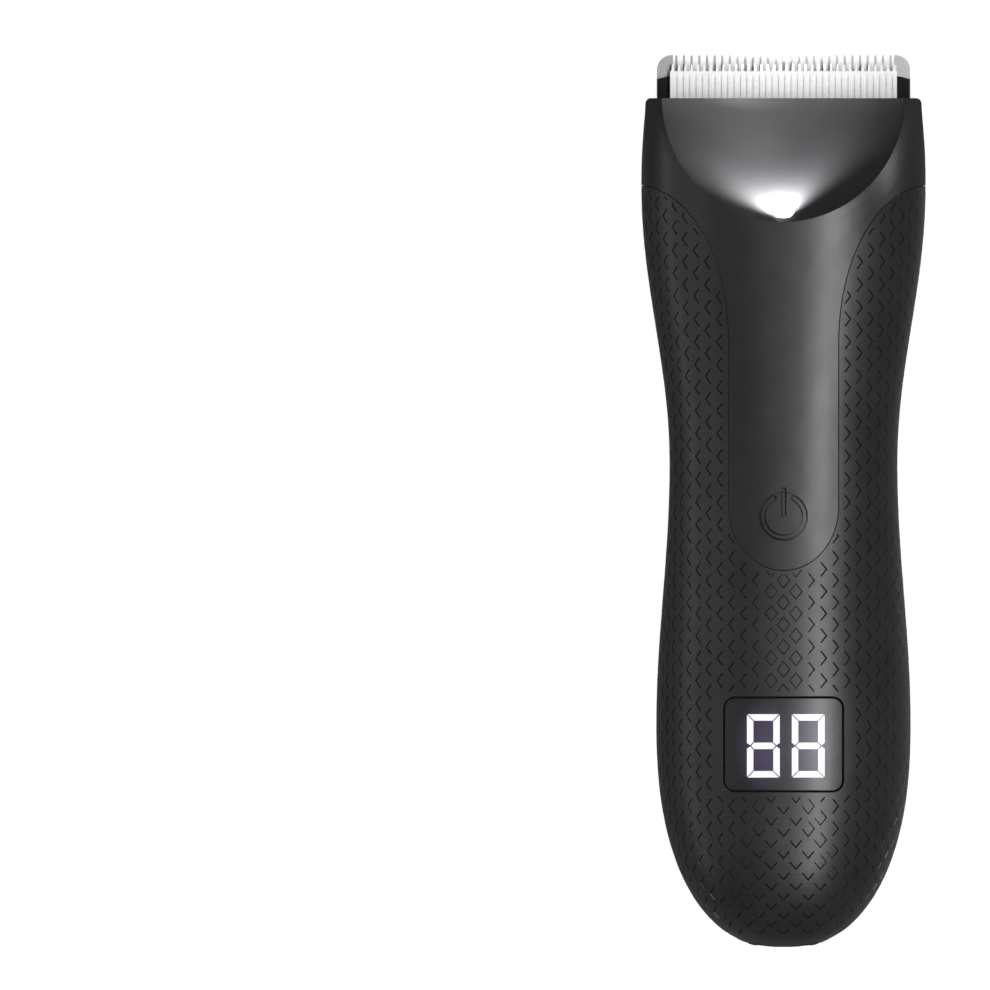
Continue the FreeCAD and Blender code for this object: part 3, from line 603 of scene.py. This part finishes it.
# ---- materials
class Look:
    """One material: a Principled shader with its colour, roughness and bump worked out from noise."""

    def __init__(self, name, roughness, **settings):
        self.material = bpy.data.materials.new(name)
        self.material.use_nodes = True
        self.tree = self.material.node_tree
        self.shader = self.tree.nodes["Principled BSDF"]
        self.place = self.tree.nodes.new("ShaderNodeTexCoord").outputs["Object"]
        self.normal = None
        self.set(roughness=roughness, **settings)

    def set(self, **settings):
        for name, value in settings.items():
            self.shader.inputs[name.replace("_", " ").title().replace("Ior", "IOR")].default_value = value

    def link(self, output, target):
        self.tree.links.new(output, target)

    def scaled(self, scale):
        """The place in the piece, multiplied by scale along each axis."""
        mapping = self.tree.nodes.new("ShaderNodeMapping")
        mapping.inputs["Scale"].default_value = scale
        self.link(self.place, mapping.inputs["Vector"])
        return mapping.outputs[0]

    def noise(self, size, detail=3.0, stretch=(1, 1, 1)):
        """Noise whose features are about size millimetres, drawn out along an axis by stretch."""
        place = self.scaled([1 / (size * MM * s) for s in stretch])
        texture = self.tree.nodes.new("ShaderNodeTexNoise")
        texture.inputs["Scale"].default_value = 1.0
        texture.inputs["Detail"].default_value = detail
        self.link(place, texture.inputs["Vector"])
        return texture.outputs["Fac"]

    def cells(self, size):
        place = self.scaled([1 / (size * MM)] * 3)
        texture = self.tree.nodes.new("ShaderNodeTexVoronoi")
        texture.inputs["Scale"].default_value = 1.0
        self.link(place, texture.inputs["Vector"])
        return texture.outputs["Distance"]

    def spread(self, value, low, high, start=0.3, stop=0.7):
        """Maps a noise onto a range of plain values."""
        node = self.tree.nodes.new("ShaderNodeMapRange")
        for name, number in (("From Min", start), ("From Max", stop), ("To Min", low), ("To Max", high)):
            node.inputs[name].default_value = number
        self.link(value, node.inputs["Value"])
        return node.outputs["Result"]

    def tones(self, factor, dark, light):
        """A colour between two tones."""
        node = self.tree.nodes.new("ShaderNodeMix")
        node.data_type = "RGBA"
        # the colour inputs of this node share their names with its number inputs, so they go by place
        node.inputs[6].default_value = (*dark, 1)
        node.inputs[7].default_value = (*light, 1)
        self.link(factor, node.inputs["Factor"])
        return node.outputs[2]

    def paint(self, value, dark, light, start=0.3, stop=0.7):
        """Base colour between two tones by a noise."""
        colour = self.tones(self.spread(value, 0, 1, start, stop), dark, light)
        self.link(colour, self.shader.inputs["Base Color"])

    def rough(self, value, low, high):
        self.link(self.spread(value, low, high), self.shader.inputs["Roughness"])

    def bump(self, value, depth):
        """Adds relief of about depth millimetres."""
        node = self.tree.nodes.new("ShaderNodeBump")
        node.inputs["Distance"].default_value = depth * MM
        self.link(value, node.inputs["Height"])
        if self.normal:
            self.link(self.normal, node.inputs["Normal"])
        self.normal = node.outputs[0]
        self.link(self.normal, self.shader.inputs["Normal"])


def moulded(name, colour, roughness, grain=0.09, depth=0.006, contrast=0.12, **settings):
    """Plastic or rubber from a spark-eroded mould: fine grain, and broad shifts of tone and gloss."""
    look = Look(name, roughness, **settings)
    handled = look.noise(9.0, 4.0)
    dark = [c * (1 - contrast) for c in colour]
    light = [min(1.0, c * (1 + contrast) + 0.001) for c in colour]
    look.paint(handled, dark, light)
    look.rough(look.noise(5.0, 5.0), roughness - 0.02, roughness + 0.02)
    look.bump(look.noise(grain, 2.0), depth)
    look.bump(look.cells(grain * 2.2), depth * 0.5)
    return look.material


def metal(name, colour, roughness, stretch=(1, 14, 1), grain=0.05, depth=0.004, **settings):
    """Ground or drawn metal: long fine lines in its tone, its gloss and its relief."""
    look = Look(name, roughness, metallic=1.0, **settings)
    lines = look.noise(grain, 4.0, stretch)
    look.paint(lines, [c * 0.82 for c in colour], [min(1.0, c * 1.1) for c in colour])
    look.rough(look.noise(grain * 2, 3.0, stretch), roughness - 0.07, roughness + 0.09)
    look.bump(lines, depth)
    look.bump(look.noise(2.5, 3.0), depth)
    return look.material


def soft_grip():
    return moulded("grip_rubber", (0.0105, 0.0105, 0.011), 0.37, 0.12, 0.008, 0.15, sheen_weight=0.05)


def ceramic():
    """Sintered white ceramic, faintly mottled, with a fired gloss."""
    look = Look("cutter_ceramic", 0.28, specular_ior_level=0.55, coat_weight=0.15)
    look.paint(look.noise(0.8, 5.0), (0.72, 0.72, 0.715), (0.78, 0.78, 0.775))
    look.rough(look.noise(1.6, 3.0), 0.22, 0.36)
    look.bump(look.noise(0.06, 3.0), 0.003)
    return look.material


def smoked():
    """Smoked pane with a satin gloss, thin enough for the lit digits to show through."""
    look = Look("smoked_window", 0.36, specular_ior_level=0.9, alpha=0.5)
    look.paint(look.noise(12.0, 2.0), (0.010, 0.009, 0.012), (0.014, 0.013, 0.017))
    look.rough(look.noise(3.0, 4.0), 0.34, 0.38)
    look.bump(look.noise(6.0, 2.0), 0.01)
    return look.material


def glowing(name, colour, strength, roughness=0.3):
    """A lit part, slightly uneven from behind."""
    look = Look(name, roughness, emission_strength=strength)
    tone = look.noise(2.0, 2.0)
    look.paint(tone, [c * 0.96 for c in colour], colour)
    look.link(look.tones(tone, [c * 0.93 for c in colour], colour), look.shader.inputs["Emission Color"])
    look.bump(look.noise(0.1, 2.0), 0.002)
    return look.material


def case_with_painted_glow():
    """The display's dark case, with a painted violet glow round each digit that stands in for stray light."""
    look = Look("module_black", 0.4)
    look.paint(look.noise(6.0, 3.0), (0.010, 0.009, 0.012), (0.014, 0.012, 0.017))
    look.rough(look.noise(2.0, 3.0), 0.36, 0.46)
    look.bump(look.noise(0.08, 2.0), 0.004)
    low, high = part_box("display_digits")
    middle, width = (low + high) / 2, high.x - low.x
    painted_glow = look.tree.nodes.new("ShaderNodeMath")
    painted_glow.operation = "MAXIMUM"
    for place, turn in enumerate((-1, 1)):
        centre = (middle.x + turn * width * PAINTED_GLOW_SHIFT, middle.y, middle.z)
        look.link(glow_round(look, centre, PAINTED_GLOW_REACH), painted_glow.inputs[place])
    # painted glow: the case itself gives off violet light, strongest near each digit and fading with distance
    # from it
    look.shader.inputs["Emission Color"].default_value = (0.5, 0.36, 0.85, 1)
    look.link(look.spread(painted_glow.outputs[0], 0.0, 0.3, 0.0, 0.7), look.shader.inputs["Emission Strength"])
    return look.material


def glow_round(look, centre, reach):
    """A value of 1 at centre that falls to 0 at reach millimetres from it along each axis."""
    mapping = look.tree.nodes.new("ShaderNodeMapping")
    mapping.vector_type = "TEXTURE"
    mapping.inputs["Location"].default_value = centre
    mapping.inputs["Scale"].default_value = [r * MM for r in reach]
    look.link(look.place, mapping.inputs["Vector"])
    glow = look.tree.nodes.new("ShaderNodeTexGradient")
    glow.gradient_type = "SPHERICAL"
    look.link(mapping.outputs[0], glow.inputs["Vector"])
    return glow.outputs["Fac"]


def lit_lens():
    """The lamp's clear dome, brightest over its diode."""
    look = Look("lamp_clear", 0.2)
    look.paint(look.noise(1.0, 2.0), (0.5, 0.5, 0.5), (0.6, 0.6, 0.6))
    low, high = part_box("lamp_lens")
    centre = ((low.x + high.x) / 2, (low.y + high.y) / 2, high.z)
    look.shader.inputs["Emission Color"].default_value = (1, 1, 1, 1)
    glow = look.spread(glow_round(look, centre, LENS_REACH), 0.15, 6.0, 0.05, 0.75)
    look.link(glow, look.shader.inputs["Emission Strength"])
    look.bump(look.noise(0.3, 2.0), 0.004)
    return look.material


def circuit_board():
    """Green solder mask with lighter tracks under it."""
    look = Look("board_green", 0.35, coat_weight=0.4)
    place = look.scaled((1 / MM, 0.5 / MM, 1 / MM))
    tracks = look.tree.nodes.new("ShaderNodeTexBrick")
    tracks.inputs["Scale"].default_value = 1.0
    tracks.inputs["Mortar Size"].default_value = 0.03
    look.link(place, tracks.inputs["Vector"])
    look.paint(tracks.outputs["Fac"], (0.012, 0.11, 0.045), (0.03, 0.2, 0.09), 0.0, 1.0)
    look.rough(look.noise(2.0, 3.0), 0.28, 0.42)
    look.bump(tracks.outputs["Fac"], 0.02)
    return look.material


def laminated():
    """Thin iron sheets stacked along the shaft."""
    look = Look("armature_iron", 0.45, metallic=0.9)
    wave = look.tree.nodes.new("ShaderNodeTexWave")
    wave.bands_direction = "Y"
    wave.inputs["Scale"].default_value = 1 / MM
    wave.inputs["Distortion"].default_value = 0.3
    look.link(look.place, wave.inputs["Vector"])
    look.paint(wave.outputs["Fac"], (0.16, 0.13, 0.11), (0.42, 0.38, 0.34), 0.0, 1.0)
    look.rough(look.noise(0.5, 3.0), 0.35, 0.55)
    look.bump(wave.outputs["Fac"], 0.03)
    return look.material


def materials():
    """One finished material for each material slot of the record."""
    black = (0.0105, 0.0105, 0.011)
    return {
        "panel_black": moulded("panel_black", black, 0.35, 0.07, 0.004, 0.06),
        "shell_plastic": moulded("shell_plastic", (0.013, 0.013, 0.014), 0.42),
        "rear_black": moulded("rear_black", black, 0.37, 0.07, 0.005),
        "grip_rubber": soft_grip(),
        "seal_rubber": moulded("seal_rubber", (0.02, 0.02, 0.021), 0.6, 0.15, 0.01),
        "screw_steel": metal("screw_steel", (0.55, 0.55, 0.56), 0.32, (1, 1, 1)),
        "button_black": moulded("button_black", black, 0.35, 0.07, 0.004, 0.06),
        "switch_case": moulded("switch_case", (0.03, 0.03, 0.03), 0.3),
        "plunger_plastic": moulded("plunger_plastic", (0.42, 0.09, 0.07), 0.4),
        "smoked_window": smoked(),
        # the display case carries a painted violet glow round its digits
        "module_black": case_with_painted_glow(),
        "digit_light": glowing("digit_light", (1.0, 0.96, 1.0), 3.8),
        "lamp_clear": lit_lens(),
        "diode_white": glowing("diode_white", (1.0, 0.98, 0.92), 4.0),
        "board_green": circuit_board(),
        "board_chips": moulded("board_chips", (0.025, 0.025, 0.026), 0.45, 0.1, 0.01),
        "chassis_plastic": moulded("chassis_plastic", (0.26, 0.27, 0.28), 0.45),
        "cell_wrap": moulded("cell_wrap", (0.03, 0.15, 0.36), 0.25, 0.4, 0.004, 0.08, coat_weight=0.3),
        "nickel": metal("nickel", (0.72, 0.69, 0.63), 0.22),
        "brass_tab": metal("brass_tab", (0.72, 0.55, 0.26), 0.28),
        "motor_steel": metal("motor_steel", (0.6, 0.6, 0.61), 0.3),
        "bell_plastic": moulded("bell_plastic", (0.72, 0.72, 0.7), 0.4),
        "magnet_dark": metal("magnet_dark", (0.09, 0.09, 0.09), 0.5, (1, 1, 1), 0.2, 0.01),
        "armature_iron": laminated(),
        "shaft_steel": metal("shaft_steel", (0.7, 0.7, 0.71), 0.18),
        "acetal_white": moulded("acetal_white", (0.8, 0.8, 0.78), 0.35),
        "blade_steel": metal("blade_steel", (0.42, 0.425, 0.43), 0.34),
        "base_black": moulded("base_black", (0.002, 0.002, 0.002), 0.6, specular_ior_level=0.15),
        "cutter_ceramic": ceramic(),
        "slider_plastic": moulded("slider_plastic", (0.03, 0.03, 0.032), 0.42),
        "spring_steel": metal("spring_steel", (0.5, 0.5, 0.51), 0.3, (14, 1, 1)),
        "socket_black": moulded("socket_black", (0.01, 0.01, 0.0105), 0.4),
    }


def dress_nodes(made):
    """Gives every CAD node the finished material of its record slot."""
    for part in frame["record"]["subparts"]:
        for slot in frame["nodes"][part["node"]].material_slots:
            slot.material = made[part["material_slot"]]


# ---- floor, light and camera
def build_floor():
    mesh = bpy.data.meshes.new("floor")
    corners = [(x * FLOOR_REACH, y * FLOOR_REACH, 0) for x, y in ((-1, -1), (1, -1), (1, 1), (-1, 1))]
    mesh.from_pydata(corners, [], [(0, 1, 2, 3)])
    floor = bpy.data.objects.new("floor", mesh)
    bpy.context.scene.collection.objects.link(floor)
    look = Look("pale_floor", 0.9, specular_ior_level=0.1)
    look.paint(look.noise(300.0, 2.0), (0.88, 0.88, 0.88), (0.9, 0.9, 0.9))
    mesh.materials.append(look.material)
    # its own white stays out of the groomer's reflections, so that the rims stay dark
    floor.visible_diffuse = False
    floor.visible_glossy = False
    return floor


def softbox(name, direction, distance, size, brightness):
    """A rectangular area light that faces the object; brightness is its radiance."""
    light = bpy.data.lights.new(name, "AREA")
    light.shape = "RECTANGLE"
    light.size, light.size_y = size
    light.energy = brightness * math.pi * size[0] * size[1]
    lamp = bpy.data.objects.new(name, light)
    bpy.context.scene.collection.objects.link(lamp)
    towards = Vector(direction).normalized()
    across = Vector((0, 1, 0)).cross(towards).normalized()
    turned = Matrix((across, towards.cross(across), towards)).transposed().to_4x4()
    lamp.matrix_world = Matrix.Translation(towards * distance) @ turned
    return lamp


def all_but(name, left_out):
    """A light-linking collection that lets a light reach everything except some objects."""
    group = bpy.data.collections.new(name)
    for place, thing in enumerate(left_out):
        group.objects.link(thing)
        group.collection_objects[place].light_linking.link_state = "EXCLUDE"
    return group


def light_scene(floor):
    wash = softbox("floor_wash", (0.0, 0.0, 1.0), 1.5, (2.0, 2.0), 6.0)
    receivers = bpy.data.collections.new("washed")
    receivers.objects.link(floor)
    wash.light_linking.receiver_collection = receivers
    object_only = all_but("object_only", [floor])
    head_only = all_but("head_only", [floor, bpy.data.objects["front_soft_grip"]])
    key = softbox("key", (0.36, 0.0, 0.93), 0.8, (0.15, 1.7), 14.0)
    left_fill = softbox("left_fill", (-0.8, 0.1, 0.6), 1.2, (0.7, 1.6), 0.5)
    left_rim = softbox("left_rim", (-0.99, 0.0, 0.1), 0.8, (0.12, 1.2), 2.0)
    head_light = softbox("head_light", (0.25, 0.92, 0.3), 1.0, (0.5, 0.2), 2.0)
    for light in (key, left_fill, left_rim, head_light):
        light.light_linking.receiver_collection = object_only
    head_side = softbox("head_side", (0.8, 0.45, 0.38), 1.0, (0.2, 0.5), 7.0)
    head_side.light_linking.receiver_collection = head_only


def build_world():
    """Grey light from all round, and a white backdrop for the camera."""
    world = bpy.data.worlds.new("studio")
    world.use_nodes = True
    tree = world.node_tree
    background = tree.nodes["Background"]
    background.inputs["Color"].default_value = (0.13, 0.13, 0.133, 1)
    seen = tree.nodes.new("ShaderNodeBackground")
    seen.inputs["Color"].default_value = (1, 1, 1, 1)
    rays = tree.nodes.new("ShaderNodeLightPath")
    mix = tree.nodes.new("ShaderNodeMixShader")
    tree.links.new(rays.outputs["Is Camera Ray"], mix.inputs[0])
    tree.links.new(background.outputs[0], mix.inputs[1])
    tree.links.new(seen.outputs[0], mix.inputs[2])
    tree.links.new(mix.outputs[0], tree.nodes["World Output"].inputs["Surface"])
    bpy.context.scene.world = world


def glow_lamp():
    """The head's own lamp, whose beam fans out over the scoop towards the blade."""
    low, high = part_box("lamp_lens")
    light = bpy.data.lights.new("head_lamp", "SPOT")
    light.energy = LAMP_WATTS
    light.shadow_soft_size = LAMP_RADIUS
    light.spot_size = LAMP_SPREAD
    light.spot_blend = 0.8
    lamp = bpy.data.objects.new("head_lamp", light)
    bpy.context.scene.collection.objects.link(lamp)
    lamp.location = (0, low.y + LAMP_PAST_LENS[0], high.z + LAMP_PAST_LENS[1])
    lamp.rotation_euler = Vector(LAMP_BACKWARD).to_track_quat("Z", "X").to_euler()
    # the lens casts no shadow in the beam
    lamp.light_linking.blocker_collection = all_but("lens_clear", [frame["nodes"]["lamp_lens"]])


def place_camera():
    """Straight above the front face, the groomer upright at the right of a square view."""
    camera = bpy.data.cameras.new("camera")
    camera.type = "ORTHO"
    camera.ortho_scale = VIEW_SIZE
    seen = bpy.data.objects.new("camera", camera)
    seen.location = VIEW_PLACE
    bpy.context.scene.collection.objects.link(seen)
    bpy.context.scene.camera = seen
    bpy.context.scene.view_settings.view_transform = "Standard"


made = materials()
dress_nodes(made)
for side in ("front", "rear"):
    build_grip(side).data.materials.append(made["grip_rubber"])
light_scene(build_floor())
build_world()
glow_lamp()
place_camera()
